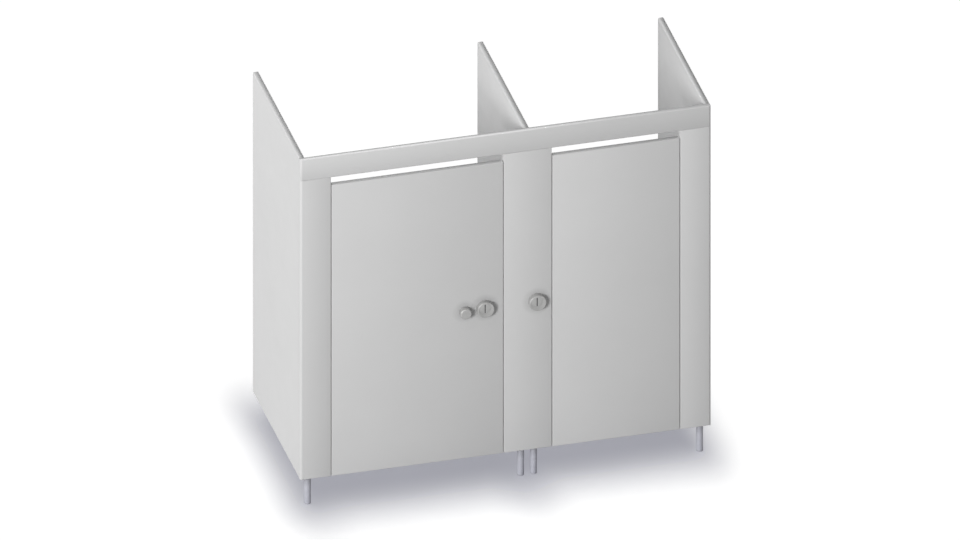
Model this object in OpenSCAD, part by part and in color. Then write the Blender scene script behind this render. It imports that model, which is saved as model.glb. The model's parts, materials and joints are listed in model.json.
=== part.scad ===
// Two-bay toilet cubicle: three side panels, three pilasters and a headrail board in
// one flush front, two inward-opening doors and four round legs under the front.
// The front runs along X, +Y goes back to the wall and +Z is up.
// The origin is on the floor, at the middle of the outer box.

/* [Overall] */
// Height from the floor to the top of the boards
total_height = 2000; // [1900:10:2200]
// Depth from the front faces to the back edges of the side panels
total_depth = 927; // [880:1:1600]
// Thickness of every board
board_t = 30; // [25:1:36]
// Height of the boards' lower edges above the floor
floor_gap = 145; // [100:5:200]

/* [Front] */
// Width of the left pilaster
left_pilaster_w = 160; // [150:5:260]
// Width of the left doorway
left_opening_w = 900; // [700:10:920]
// Width of the middle pilaster
middle_pilaster_w = 250; // [250:5:340]
// Width of the right doorway
right_opening_w = 670; // [560:10:860]
// Width of the right pilaster
right_pilaster_w = 160; // [150:5:260]
// Height of the headrail board
headrail_h = 120; // [110:5:200]
// Open gap between a door's top edge and the headrail
door_top_gap = 45; // [20:5:80]
// Gap beside each vertical edge of a door
door_side_gap = 3.5; // [2.5:0.5:6]
// Rounding of the front corners at both ends of the front
corner_r = 12; // [4:1:14]
// Rounding of the other board edges
edge_r = 4; // [1:0.5:6]

/* [Legs] */
// Outer diameter of a leg tube
leg_d = 35; // [30:1:45]
// Wall of a leg tube
leg_wall = 3; // [2:0.5:5]
// Distance from the left end to the left leg's axis
left_leg_inset = 41; // [30:1:80]
// Distance from the right end to the right leg's axis
right_leg_inset = 56; // [30:1:80]
// Distance between the axes of the two middle legs
middle_leg_spread = 67; // [55:1:120]
// Height of the foot glide below the tube
glide_h = 8; // [5:1:15]
// Diameter of the stud that joins a leg to its board
stud_d = 12; // [8:1:14]
// Length of the stud inside the board
stud_in_board = 46; // [30:1:70]

/* [Hinges] */
// Height of a hinge
hinge_h = 90; // [70:5:120]
// Width of a hinge leaf from the hinge axis
leaf_w = 40; // [34:1:48]
// Thickness of a hinge leaf
leaf_t = 3; // [2:0.5:4]
// Distance from the boards' inner faces to the hinge axis
hinge_offset = 8; // [8:0.5:12]
// Outer diameter of a knuckle
knuckle_d = 14; // [12:0.5:15]
// Diameter of a hinge pin
pin_d = 8; // [5:0.5:9]
// Distance from a door's ends to the middle of its outer hinges
hinge_inset = 150; // [120:10:300]

/* [Locks] */
// Height of the locks' axes above the floor
lock_height = 1005; // [900:5:1100]
// Distance from the left door's free edge to its lock axis
left_lock_inset = 96.5; // [80:0.5:110]
// Distance from the middle pilaster's right edge to its lock axis
right_lock_inset = 79; // [74:0.5:81]
// Diameter of the outside rose
rose_d = 88; // [80:1:100]
// How far the rose stands out from the front
rose_out = 30; // [22:1:45]
// Thickness of the rose's floor behind the turning disc
rose_floor = 7; // [4:1:12]
// Width of the rose's rim
rim_w = 5; // [4.5:0.5:8]
// Rounding of the rose's front edge
rim_r = 4; // [1:0.5:4]
// Diameter of the slotted disc at the bottom of the rose's bowl
disc_d = 60; // [56:1:60]
// Thickness of the slotted disc
disc_t = 5; // [3:0.5:8]
// Width of the disc's slot
slot_w = 6; // [2:0.5:8]
// Length of the disc's slot
slot_l = 47; // [30:1:52]
// Diameter of the spindle
spindle_d = 10; // [9:0.5:12]
// Travel of the bolt
bolt_travel = 30; // [24:1:32]
// Height of the bolt
bolt_h = 16; // [12:1:20]
// Thickness of the bolt
bolt_t = 6; // [4:0.5:7]
// Height of the lock case on the inner face
case_h = 80; // [80:1:92]
// Distance from the lock axis to the case's end on the bolt side
case_reach = 68; // [66:1:70]
// Depth of the lock case
case_d = 16; // [15:0.5:22]
// Wall of the lock case
case_wall = 2.5; // [1.5:0.5:3]
// Length of the thumb-turn's grip
grip_l = 38; // [30:1:46]
// Length of a keep along the bolt
keep_l = 26; // [18:1:30]

/* [Knob and hooks] */
// Diameter of the door knob
knob_d = 60; // [40:1:70]
// How far the knob stands out from the door
knob_out = 34; // [24:1:60]
// Distance between the knob's axis and the lock's axis
knob_spacing = 104; // [90:1:140]
// Height of the knob's axis above the floor
knob_height = 998; // [900:1:1100]
// Distance from a door's top edge down to its coat hook
hook_drop = 215; // [120:5:400]
// Reach of a coat hook from the door's inner face
hook_reach = 58; // [50:1:80]

/* [Brackets] */
// Length of each leg of an angle bracket
angle_leg = 40; // [34:1:44]
// Height of an angle bracket
angle_h = 60; // [50:5:80]
// Thickness of brackets and joining plates
bracket_t = 3; // [2:0.5:5]
// Diameter of the holes for the wall anchors
wall_hole_d = 8.5; // [6:0.5:10]
// Distance between the two anchor holes of a wall bracket
wall_hole_spacing = 36; // [28:1:40]
// Height of the lowest wall bracket above the floor
wall_bracket_low = 300; // [220:10:400]
// Rise from one wall bracket to the next
wall_bracket_rise = 550; // [300:10:600]

/* [Hidden] */

// Smoothness of round surfaces
$fn = 64;
// Radial clearance of a pin or hub that turns
run_fit = 0.06;
// Radial clearance of a piece that is fixed in its hole
seat_fit = 0.05;
// Clearance between moving faces
gap = 0.3;
// Overshoot of a cutting shape
over = 1;

// Places along the front
left_opening_x = left_pilaster_w;
middle_x = left_opening_x + left_opening_w;
right_opening_x = middle_x + middle_pilaster_w;
right_pilaster_x = right_opening_x + right_opening_w;
total_w = right_pilaster_x + right_pilaster_w;
divider_x = middle_x + middle_pilaster_w / 2;

// Heights
headrail_z = total_height - headrail_h;
door_h = headrail_z - door_top_gap - floor_gap;
hook_height = floor_gap + door_h - hook_drop;
board_h = total_height - floor_gap;

// Doors: low X edge and width
left_door_x = left_opening_x + door_side_gap;
left_door_w = left_opening_w - 2 * door_side_gap;
left_free_x = left_door_x + left_door_w;
right_door_x = right_opening_x + door_side_gap;
right_door_w = right_opening_w - 2 * door_side_gap;

// Hinge axes, in the middle of the gaps
left_axis_x = left_opening_x + door_side_gap / 2;
right_axis_x = right_pilaster_x - door_side_gap / 2;
axis_y = board_t + hinge_offset;
hinge_levels = [
    floor_gap + hinge_inset, floor_gap + door_h / 2, floor_gap + door_h - hinge_inset
];

// Lock, knob and keep places
left_lock_x = left_free_x - left_lock_inset;
right_lock_x = right_opening_x - right_lock_inset;
knob_x = left_lock_x - knob_spacing;
keep_margin = 9;
left_keep_x = middle_x + keep_margin;
right_keep_x = right_door_x + keep_margin;
bolt_set_back = 2;
left_tip = left_lock_inset - bolt_set_back;
right_tip = right_lock_inset - bolt_set_back;

// Lock interior, measured from the boards' inner face
bolt_w0 = 1;
cam_gap = 0.6;
cam_w0 = bolt_w0 + bolt_t + cam_gap;
cam_t = 4;
case_back = -27.5;
fork_back = case_back + case_wall + 0.5;
fork_h = 24;
fork_end = 28;
cam_pin_d = 6;
cam_arm_w = 9;
cam_pin_reach = bolt_travel / 2;
pin_play = 1;
yoke_wall = 4.5;
yoke_half = cam_pin_d / 2 + pin_play + yoke_wall;
yoke_low = cam_pin_reach - cam_pin_d / 2 - 0.6;
yoke_high = cam_pin_reach * sqrt(2) + cam_pin_d / 2 + 0.6;
yoke_top = yoke_high + 3;
square_a = 7;
square_fit = 0.1;
hub_d = 16;
grip_base_t = 3.7;
grip_out = 18;
case_screw_x = [case_back + 6.2, case_reach - 6.2];
case_screw_z = case_h / 2 - 6.5;
case_edge_r = 4;
case_corner_r = 8;
post_d = 7.4;
rail_t = 2;
turn_base_d = 40;
turn_base_top_d = 36;
grip_w = 10;
waist_r = 31;
waist_wall = 3;
square_depth = 10;
rose_screw_r = 20;
disc_side_gap = 0.5;
disc_face = rose_floor + gap + disc_t;
slot_floor = 1;
screw_cover = 1;

// Keep
keep_inner_h = bolt_h + 4;
keep_inner_d = bolt_w0 + bolt_t + 1.5;
keep_t = 3;
keep_flange = 14;

// Door stops
lug_h = 60;
lug_t = 3;
lug_lap = 20;
lug_seat = 24;
pad_inset = 3;
joggle_start = 4;
joggle_end = 1;
joggle_wall = 1.4;
lug_inset = 330;
lug_levels = [floor_gap + lug_inset, floor_gap + door_h - lug_inset];

// Coat hook
hook_w = 10;
hook_t = 8;
hook_bend = 12;
hook_plate = [24, 60, 3];
hook_rise = 34;
buffer_d = 16;
buffer_t = 6;
left_hook_x = left_door_x + left_door_w / 2;
right_hook_x = right_door_x + right_door_w / 2;

// Screws
screw_d = 4;
screw_head_d = 9;
screw_head_h = 2.4;
head_chamfer = 1.2;
screw_tip = 4;
screw_bite = 16;
screw_hole_d = screw_d + 0.6;
angle_screw_at = 26;
angle_screw_dz = 18;
hook_screw_dz = 22;
lug_screw_dx = 13.2;
lug_screw_dz = 18;
hinge_screw_at = leaf_w - 12;
hinge_screw_dz = hinge_h / 3;
plate_w = 80;
plate_h = 100;
plate_hole_dx = 28;
plate_hole_dz = 30;

// Bracket levels and corners: [X of the panel's face, side that the bracket lies on]
bracket_low = 180;
bracket_above_lock = 300;
bracket_high = 120;
bracket_levels = [
    floor_gap + bracket_low, lock_height + bracket_above_lock, headrail_z - bracket_high
];
front_corners = [
    [board_t, 1], [divider_x - board_t / 2, -1],
    [divider_x + board_t / 2, 1], [total_w - board_t, -1]
];
wall_corners = [
    [board_t, 1], [divider_x + board_t / 2, 1], [total_w - board_t, -1]
];
wall_levels = [for (i = [0:2]) wall_bracket_low + i * wall_bracket_rise];

// Middles of the plates that tie the headrail to the pilasters
plate_inset = 6;
plate_xs = [
    board_t + plate_w / 2 + plate_inset,
    (middle_x + divider_x - board_t / 2) / 2,
    (right_opening_x + divider_x + board_t / 2) / 2,
    total_w - board_t - plate_w / 2 - plate_inset
];
leg_y = board_t / 2;
leg_xs = [
    left_leg_inset, divider_x - middle_leg_spread / 2,
    divider_x + middle_leg_spread / 2, total_w - right_leg_inset
];

// How far the hardware stands out in front
front_reach = max(knob_out, rose_out);

// Colours
board_grey = [0.86, 0.86, 0.85];
metal_grey = [0.68, 0.68, 0.70];
leg_grey = [0.78, 0.78, 0.82];
rubber_grey = [0.20, 0.20, 0.21];
zinc_grey = [0.74, 0.75, 0.76];

// ---------- Screw places: [point on the board's face, side the head is on, stack] ----------
// Side 0 puts the head on the inner face of the front, 1 and -1 on a panel's face.
function hinge_screws(x, side) = [
    for (z = hinge_levels) for (s = [-1, 0, 1])
        [[x + side * hinge_screw_at, board_t, z + s * hinge_screw_dz], 0, leaf_t]
];
function case_screws(x) = [
    for (dx = case_screw_x) for (s = [-1, 1])
        [[x + dx, board_t, lock_height + s * case_screw_z], 0, case_d]
];
function keep_screws(x) = [
    for (s = [-1, 1])
        [[x + keep_l / 2, board_t, lock_height + s * (keep_inner_h / 2 + keep_t + keep_flange / 2)],
         0, keep_t]
];
function lug_screws(x, side) = [
    for (z = lug_levels) for (s = [-1, 1])
        [[x + side * lug_screw_dx, board_t, z + s * lug_screw_dz], 0, lug_t]
];
function hook_screws(x) = [
    for (s = [-1, 1]) [[x, board_t, hook_height + s * hook_screw_dz], 0, hook_plate[2]]
];
function front_bracket_screws(low, high) = [
    for (c = front_corners) if (c[0] >= low && c[0] <= high)
        for (z = bracket_levels) for (s = [-1, 1])
            [[c[0] + c[1] * angle_screw_at, board_t, z + s * angle_screw_dz], 0, bracket_t]
];
function plate_screws(part) = [
    for (x = plate_xs) for (sx = [-1, 1])
        [[x + sx * plate_hole_dx, board_t, headrail_z + part * plate_hole_dz], 0, bracket_t]
];
function panel_screws(corner) = concat(
    [for (z = bracket_levels) for (s = [-1, 1])
        [[corner[0], board_t + angle_screw_at, z + s * angle_screw_dz], corner[1], bracket_t]],
    len([for (w = wall_corners) if (w == corner) w]) == 0 ? [] :
    [for (z = wall_levels) for (s = [-1, 1])
        [[corner[0], total_depth - angle_screw_at, z + s * angle_screw_dz], corner[1], bracket_t]]
);
function within(list, low, high) = [for (s = list) if (s[0][0] > low && s[0][0] < high) s];

left_door_points = concat(
    hinge_screws(left_axis_x, 1), case_screws(left_lock_x),
    lug_screws(left_free_x, -1), hook_screws(left_hook_x)
);
right_door_points = concat(
    hinge_screws(right_axis_x, -1), keep_screws(right_keep_x),
    lug_screws(right_door_x, 1), hook_screws(right_hook_x)
);
pilaster_points = concat(
    hinge_screws(left_axis_x, -1), hinge_screws(right_axis_x, 1),
    case_screws(right_lock_x), keep_screws(left_keep_x),
    front_bracket_screws(0, total_w), plate_screws(-1)
);
panel_points = [for (c = front_corners) for (s = panel_screws(c)) s];
frame_points = concat(pilaster_points, plate_screws(1), panel_points);

// ---------- Helpers ----------
module place() {
    translate([-total_w / 2, -(total_depth - front_reach) / 2, 0]) children();
}

// What rounding takes off one corner of a rectangle
module corner_cut(at, turn, r) {
    if (r > 0)
        translate(at) rotate(turn) difference() {
            translate([-over, -over]) square(r + over);
            translate([r, r]) circle(r);
        }
}

// Rectangle from the origin, with a radius for each corner, anticlockwise from the origin
module round_rect(size, r) {
    difference() {
        square(size);
        corner_cut([0, 0], 0, r[0]);
        corner_cut([size[0], 0], 90, r[1]);
        corner_cut(size, 180, r[2]);
        corner_cut([0, size[1]], 270, r[3]);
    }
}

// Turns a shape that is drawn upwards so that it points inwards (+Y) or outwards (-Y)
module inwards() { rotate([-90, 0, 0]) children(); }
module outwards() { rotate([90, 0, 0]) children(); }

module at_face(point, side) {
    translate(point) rotate(side == 0 ? [-90, 0, 0] : [0, 90 * side, 0]) children();
}

// Pan-headed screws with pointed shanks
module screws(points) {
    for (p = points)
        at_face(p[0], p[1]) rotate_extrude()
            polygon([[0, -screw_bite], [screw_d / 2, screw_tip - screw_bite],
                     [screw_d / 2, p[2]], [screw_head_d / 2, p[2]],
                     [screw_head_d / 2, p[2] + screw_head_h / 2],
                     [screw_head_d / 2 - head_chamfer, p[2] + screw_head_h],
                     [0, p[2] + screw_head_h]]);
}

module pilots(points) {
    for (p = points)
        at_face(p[0], p[1]) translate([0, 0, -screw_bite - over])
            cylinder(d = screw_d + 2 * seat_fit, h = screw_bite + 2 * over);
}

// ---------- Boards ----------
// Front board: plan with its own corner radii, rounded lower and upper edges
module front_board(x, w, z, h, plan_r, lower_r, upper_r) {
    intersection() {
        translate([x, 0, z]) linear_extrude(h) round_rect([w, board_t], plan_r);
        translate([x, 0, z]) rotate([90, 0, 90]) linear_extrude(w)
            round_rect([board_t, h], [lower_r, 0, 0, upper_r]);
    }
}

module panel(x) {
    intersection() {
        translate([x, board_t, floor_gap]) linear_extrude(board_h)
            round_rect([board_t, total_depth - board_t], [0, 0, edge_r, edge_r]);
        translate([x, total_depth, floor_gap]) rotate([90, 0, 0]) linear_extrude(total_depth - board_t)
            round_rect([board_t, board_h], [edge_r, edge_r, edge_r, edge_r]);
    }
}

module stud_bore(x) {
    translate([x, leg_y, floor_gap - over])
        cylinder(d = stud_d + 2 * seat_fit, h = stud_in_board + 2 * over);
}

module left_end_panel() {
    color(board_grey) difference() {
        panel(0);
        pilots(panel_screws(front_corners[0]));
    }
}

module divider_panel() {
    color(board_grey) difference() {
        panel(divider_x - board_t / 2);
        pilots(panel_screws(front_corners[1]));
        pilots(panel_screws(front_corners[2]));
    }
}

module right_end_panel() {
    color(board_grey) difference() {
        panel(total_w - board_t);
        pilots(panel_screws(front_corners[3]));
    }
}

module left_pilaster() {
    color(board_grey) difference() {
        front_board(0, left_pilaster_w, floor_gap, headrail_z - floor_gap,
                    [corner_r, edge_r, 0, 0], edge_r, 0);
        pilots(within(pilaster_points, 0, left_opening_x));
        stud_bore(leg_xs[0]);
    }
}

module middle_pilaster() {
    color(board_grey) difference() {
        front_board(middle_x, middle_pilaster_w, floor_gap, headrail_z - floor_gap,
                    [edge_r, edge_r, 0, 0], edge_r, 0);
        pilots(within(pilaster_points, middle_x, right_opening_x));
        lock_bores(right_lock_x);
        stud_bore(leg_xs[1]);
        stud_bore(leg_xs[2]);
    }
}

module right_pilaster() {
    color(board_grey) difference() {
        front_board(right_pilaster_x, right_pilaster_w, floor_gap, headrail_z - floor_gap,
                    [edge_r, corner_r, 0, 0], edge_r, 0);
        pilots(within(pilaster_points, right_pilaster_x, total_w));
        stud_bore(leg_xs[3]);
    }
}

module headrail() {
    color(board_grey) difference() {
        front_board(0, total_w, headrail_z, headrail_h, [corner_r, corner_r, 0, 0], edge_r, edge_r);
        pilots(plate_screws(1));
    }
}

module left_door() {
    color(board_grey) difference() {
        front_board(left_door_x, left_door_w, floor_gap, door_h,
                    [edge_r, edge_r, 0, 0], edge_r, edge_r);
        pilots(left_door_points);
        lock_bores(left_lock_x);
        translate([knob_x, board_t + over, knob_height]) outwards()
            cylinder(d = knob_bolt_d + 1, h = board_t + 2 * over);
    }
}

module right_door() {
    color(board_grey) difference() {
        front_board(right_door_x, right_door_w, floor_gap, door_h,
                    [edge_r, edge_r, 0, 0], edge_r, edge_r);
        pilots(right_door_points);
    }
}

// ---------- Legs ----------
plug_h = 16;
stud_in_leg = 15;
stud_chamfer = 1;
foot_step = 0.3;
sole_r = 2.5;
spigot_h = 21;
spigot_chamfer = 4;
spigot_taper = 2;

// Tube with a plug at its upper end that the stud is screwed into
module leg(x) {
    tube_h = floor_gap - glide_h;
    color(leg_grey) translate([x, leg_y, glide_h]) difference() {
        cylinder(d = leg_d, h = tube_h);
        translate([0, 0, -over]) cylinder(d = leg_d - 2 * leg_wall, h = tube_h - plug_h + over);
        translate([0, 0, tube_h - plug_h - over])
            cylinder(d = stud_d + 2 * seat_fit, h = plug_h + 2 * over);
    }
}

module leg_left() { leg(leg_xs[0]); }
module leg_middle_left() { leg(leg_xs[1]); }
module leg_middle_right() { leg(leg_xs[2]); }
module leg_right() { leg(leg_xs[3]); }

module leg_studs() {
    stud_r = stud_d / 2;
    stud_l = stud_in_leg + stud_in_board;
    color(zinc_grey) for (x = leg_xs)
        translate([x, leg_y, floor_gap - stud_in_leg]) rotate_extrude()
            polygon([[0, 0], [stud_r - stud_chamfer, 0], [stud_r, stud_chamfer],
                     [stud_r, stud_l - stud_chamfer], [stud_r - stud_chamfer, stud_l],
                     [0, stud_l]]);
}

// Foot with a rounded sole and a chamfered spigot that holds it in the tube
module foot_glides() {
    foot_r = leg_d / 2 - foot_step;
    spigot_r = leg_d / 2 - leg_wall - seat_fit;
    color(rubber_grey) for (x = leg_xs)
        translate([x, leg_y, 0]) rotate_extrude() {
            difference() {
                square([foot_r, glide_h]);
                corner_cut([foot_r, 0], 90, sole_r);
            }
            polygon([[0, glide_h - over], [spigot_r, glide_h - over],
                     [spigot_r, glide_h + spigot_h - spigot_chamfer],
                     [spigot_r - spigot_taper, glide_h + spigot_h], [0, glide_h + spigot_h]]);
        }
}

// ---------- Brackets and plates ----------
// Angle with its corner at the origin, one leg along +X and one along +Y
module angle_bracket(x_hole_d, x_hole_dz) {
    difference() {
        linear_extrude(angle_h, center = true) difference() {
            round_rect([angle_leg, angle_leg], [0, 2, 0, 2]);
            translate([bracket_t, bracket_t]) round_rect([angle_leg, angle_leg], [3, 0, 0, 0]);
        }
        for (s = [-1, 1]) {
            translate([angle_screw_at, -over, s * x_hole_dz]) inwards()
                cylinder(d = x_hole_d, h = bracket_t + 2 * over);
            translate([-over, angle_screw_at, s * angle_screw_dz]) rotate([0, 90, 0])
                cylinder(d = screw_hole_d, h = bracket_t + 2 * over);
        }
    }
}

module panel_brackets() {
    color(zinc_grey) for (c = front_corners) for (z = bracket_levels)
        translate([c[0], board_t, z]) mirror([c[1] < 0 ? 1 : 0, 0, 0])
            angle_bracket(screw_hole_d, angle_screw_dz);
}

module wall_brackets() {
    color(zinc_grey) for (c = wall_corners) for (z = wall_levels)
        translate([c[0], total_depth, z]) mirror([0, 1, 0]) mirror([c[1] < 0 ? 1 : 0, 0, 0])
            angle_bracket(wall_hole_d, wall_hole_spacing / 2);
}

module headrail_plates() {
    color(zinc_grey) for (x = plate_xs)
        translate([x, board_t, headrail_z]) difference() {
            translate([-plate_w / 2, bracket_t, -plate_h / 2]) outwards()
                linear_extrude(bracket_t) round_rect([plate_w, plate_h], [6, 6, 6, 6]);
            for (sx = [-1, 1]) for (sz = [-1, 1])
                translate([sx * plate_hole_dx, -over, sz * plate_hole_dz]) inwards()
                    cylinder(d = screw_hole_d, h = bracket_t + 2 * over);
        }
}

module frame_screws() {
    color(zinc_grey) {
        screws(frame_points);
        rose_screws(right_lock_x);
    }
}

module left_door_screws() {
    color(zinc_grey) {
        screws(left_door_points);
        rose_screws(left_lock_x);
    }
}

module right_door_screws() { color(zinc_grey) screws(right_door_points); }

// ---------- Hinges ----------
// Knuckle stretches of the two leaves: [low, high], as the door's one between the frame's two
knuckle_split = 16;
frame_knuckles = [[-hinge_h / 2, -knuckle_split], [knuckle_split, hinge_h / 2]];
door_knuckles = [[-knuckle_split + gap, knuckle_split - gap]];
plate_start = 6.5;
leaf_corner_r = 6;
pin_chamfer = 1;
pin_below = 2;
pin_cap_h = 3;

// Leaf that reaches to +X from the hinge axis at the origin
module hinge_leaf(knuckles, bore_fit) {
    difference() {
        union() {
            translate([plate_start, leaf_t - hinge_offset, -hinge_h / 2]) outwards()
                linear_extrude(leaf_t)
                    round_rect([leaf_w - plate_start, hinge_h], [0, leaf_corner_r, leaf_corner_r, 0]);
            for (k = knuckles) {
                translate([0, 0, k[0]]) cylinder(d = knuckle_d, h = k[1] - k[0]);
                translate([0, -hinge_offset, k[0]]) cube([plate_start + over, leaf_t, k[1] - k[0]]);
            }
        }
        translate([0, 0, -hinge_h / 2 - over])
            cylinder(d = pin_d + 2 * bore_fit, h = hinge_h + 2 * over);
        for (s = [-1, 0, 1])
            translate([hinge_screw_at, -hinge_offset - over, s * hinge_screw_dz]) inwards()
                cylinder(d = screw_hole_d, h = leaf_t + 2 * over);
    }
}

module hinge_leaves(x, side, knuckles, bore_fit) {
    color(metal_grey) for (z = hinge_levels)
        translate([x, axis_y, z]) mirror([side < 0 ? 1 : 0, 0, 0]) hinge_leaf(knuckles, bore_fit);
}

module hinge_pins(x) {
    pin_r = pin_d / 2;
    cap_r = knuckle_d / 2 - 1;
    top = hinge_h / 2 + pin_cap_h;
    color(metal_grey) for (z = hinge_levels)
        translate([x, axis_y, z]) rotate_extrude()
            polygon([[0, -hinge_h / 2 - pin_below], [pin_r - pin_chamfer, -hinge_h / 2 - pin_below],
                     [pin_r, pin_chamfer - hinge_h / 2 - pin_below], [pin_r, hinge_h / 2],
                     [cap_r, hinge_h / 2], [cap_r, top - pin_chamfer],
                     [cap_r - pin_chamfer, top], [0, top]]);
}

module left_hinge_frame_leaves() { hinge_leaves(left_axis_x, -1, frame_knuckles, seat_fit); }
module left_hinge_door_leaves() { hinge_leaves(left_axis_x, 1, door_knuckles, run_fit); }
module left_hinge_pins() { hinge_pins(left_axis_x); }
module right_hinge_frame_leaves() { hinge_leaves(right_axis_x, 1, frame_knuckles, seat_fit); }
module right_hinge_door_leaves() { hinge_leaves(right_axis_x, -1, door_knuckles, run_fit); }
module right_hinge_pins() { hinge_pins(right_axis_x); }

// ---------- Locks ----------
// Lock pieces are drawn about the lock axis, from the inner face of the board that carries
// them, with the bolt sliding to +X.
module at_lock(x) { translate([x, board_t, lock_height]) children(); }

module lock_bores(x) {
    at_lock(x) {
        translate([0, over, 0]) outwards() cylinder(d = spindle_d + 4, h = board_t + 2 * over);
        for (s = [-1, 1]) translate([0, over, s * rose_screw_r]) outwards() {
            cylinder(d = screw_d + 2 * seat_fit, h = board_t + 2 * over);
            cylinder(d = screw_head_d - 1, h = screw_head_h + over);
        }
    }
}

// Two flush-headed screws from the inner face into the rose's floor
module rose_screws(x) {
    at_lock(x) for (s = [-1, 1]) translate([0, 0, s * rose_screw_r]) outwards() {
        cylinder(d = screw_d, h = board_t + rose_floor - screw_cover - 0.5);
        translate([0, 0, 0.2]) cylinder(d = screw_head_d - 1.2, h = screw_head_h - 0.2);
    }
}

// Rose with an open bowl inside its rim, a seat for the slotted disc and a bore for its hub
module rose(x) {
    bowl_r = rose_d / 2 - rim_w;
    seat_r = disc_d / 2 + disc_side_gap;
    color(metal_grey) at_lock(x) translate([0, -board_t, 0]) outwards() difference() {
        rotate_extrude() difference() {
            square([rose_d / 2, rose_out]);
            corner_cut([rose_d / 2, rose_out], 180, rim_r);
            polygon([[-over, rose_floor], [seat_r, rose_floor], [seat_r, disc_face],
                     [bowl_r, rose_out], [bowl_r, rose_out + over], [-over, rose_out + over]]);
            translate([-over, -over]) square([hub_d / 2 + run_fit + over, rose_out]);
        }
        for (s = [-1, 1]) translate([0, s * rose_screw_r, -over])
            cylinder(d = screw_d + 2 * seat_fit, h = rose_floor - screw_cover + over);
    }
}

// Disc that turns in the rose; its slot takes a coin and shows which way the lock stands
module slot_disc(x) {
    color(metal_grey) at_lock(x) translate([0, -board_t, 0]) outwards() difference() {
        union() {
            translate([0, 0, rose_floor + gap]) cylinder(d = disc_d, h = disc_t);
            translate([0, 0, gap]) cylinder(d = hub_d, h = rose_floor + slot_floor / 2);
        }
        translate([-square_a / 2 - square_fit, -square_a / 2 - square_fit, 0])
            cube([square_a + 2 * square_fit, square_a + 2 * square_fit, rose_floor]);
        translate([-slot_w / 2, -slot_l / 2, rose_floor + gap + slot_floor])
            cube([slot_w, slot_l, disc_t + over]);
    }
}

// Round bar with a square at each end
module spindle(x) {
    square_end = case_d + grip_base_t + square_depth;
    color(zinc_grey) at_lock(x) {
        translate([0, cam_w0 - gap, 0]) outwards() cylinder(d = spindle_d, h = board_t + cam_w0 - gap);
        translate([0, cam_w0 - gap - over, 0]) inwards()
            translate([-square_a / 2, -square_a / 2, 0])
                cube([square_a, square_a, square_end - cam_w0 + gap + over]);
        translate([0, over - board_t, 0]) outwards()
            translate([-square_a / 2, -square_a / 2, 0])
                cube([square_a, square_a, rose_floor - 1 + over]);
    }
}

// Cam with a pin that drives the bolt's yoke; at rest the pin is up and to the left
module cam(x) {
    hub_h = case_d - case_wall - gap - cam_w0;
    square_hole = square_a + 2 * square_fit;
    color(zinc_grey) at_lock(x) translate([0, cam_w0, 0]) difference() {
        union() {
            translate([0, cam_t, 0]) outwards() linear_extrude(cam_t) {
                circle(d = hub_d + 5);
                rotate(45) translate([-cam_arm_w / 2, 0])
                    square([cam_arm_w, cam_pin_reach * sqrt(2) + 1]);
                translate([-cam_pin_reach, cam_pin_reach]) circle(d = cam_arm_w + 4);
            }
            translate([0, cam_t - over, 0]) inwards() cylinder(d = hub_d + 2, h = hub_h - cam_t + over);
            translate([-cam_pin_reach, over, cam_pin_reach]) outwards()
                cylinder(d = cam_pin_d, h = bolt_t - 0.5 + cam_gap + over);
        }
        translate([-square_hole / 2, -over, -square_hole / 2])
            cube([square_hole, hub_h + 2 * over, square_hole]);
    }
}

// Flat bolt: a fork that rides on the spindle, a yoke for the cam's pin and a nose
module bolt(x, tip) {
    fork_slot = spindle_d + 0.8;
    color(zinc_grey) at_lock(x) translate([0, bolt_w0 + bolt_t, 0]) outwards()
        linear_extrude(bolt_t) difference() {
            union() {
                translate([fork_back, -fork_h / 2])
                    round_rect([fork_end - fork_back, fork_h], [2, 2, 2, 2]);
                translate([fork_end - 10, -bolt_h / 2])
                    round_rect([tip - fork_end + 10, bolt_h], [0, 3, 3, 0]);
                translate([-cam_pin_reach - yoke_half, 0])
                    round_rect([2 * yoke_half, yoke_top], [0, 0, 3, 3]);
            }
            translate([fork_back - over, -fork_slot / 2]) square([over - fork_back, fork_slot]);
            circle(d = fork_slot);
            translate([-cam_pin_reach - cam_pin_d / 2 - pin_play, yoke_low])
                square([cam_pin_d + 2 * pin_play, yoke_high - yoke_low]);
        }
}

// Shell over the mechanism, with four screw posts, guide rails and a window for the bolt
module lock_case(x) {
    inner_w = case_reach - case_back - 2 * case_wall;
    inner_h = case_h - 2 * case_wall;
    rail_z = fork_h / 2 + gap;
    rail_d = case_d - case_wall;
    color(metal_grey) at_lock(x) difference() {
        union() {
            difference() {
                intersection() {
                    translate([case_back, case_d, -case_h / 2]) outwards() linear_extrude(case_d)
                        round_rect([case_reach - case_back, case_h], [for (i = [0:3]) case_corner_r]);
                    translate([case_back, 0, -case_h / 2]) rotate([90, 0, 90])
                        linear_extrude(case_reach - case_back)
                            round_rect([case_d, case_h], [0, case_edge_r, case_edge_r, 0]);
                }
                translate([case_back + case_wall, case_d - case_wall, -inner_h / 2]) outwards()
                    linear_extrude(case_d)
                        round_rect([inner_w, inner_h], [for (i = [0:3]) case_corner_r - case_wall - 0.5]);
            }
            for (dx = case_screw_x) for (s = [-1, 1])
                translate([dx, 0, s * case_screw_z]) inwards() cylinder(d = post_d, h = case_d - over);
            for (s = [-1, 1]) translate([fork_end + 1, 0, s > 0 ? rail_z : -rail_z - rail_t])
                cube([case_reach - fork_end - case_wall, rail_d, rail_t]);
        }
        translate([case_reach - case_wall - over, -over, -bolt_h / 2 - gap])
            cube([case_wall + 2 * over, bolt_w0 + bolt_t + gap + over, bolt_h + 2 * gap]);
        inwards() cylinder(d = hub_d + 2 * run_fit, h = case_d + over);
        for (dx = case_screw_x) for (s = [-1, 1])
            translate([dx, -over, s * case_screw_z]) inwards()
                cylinder(d = screw_d + 0.4, h = case_d + 2 * over);
    }
}

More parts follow.
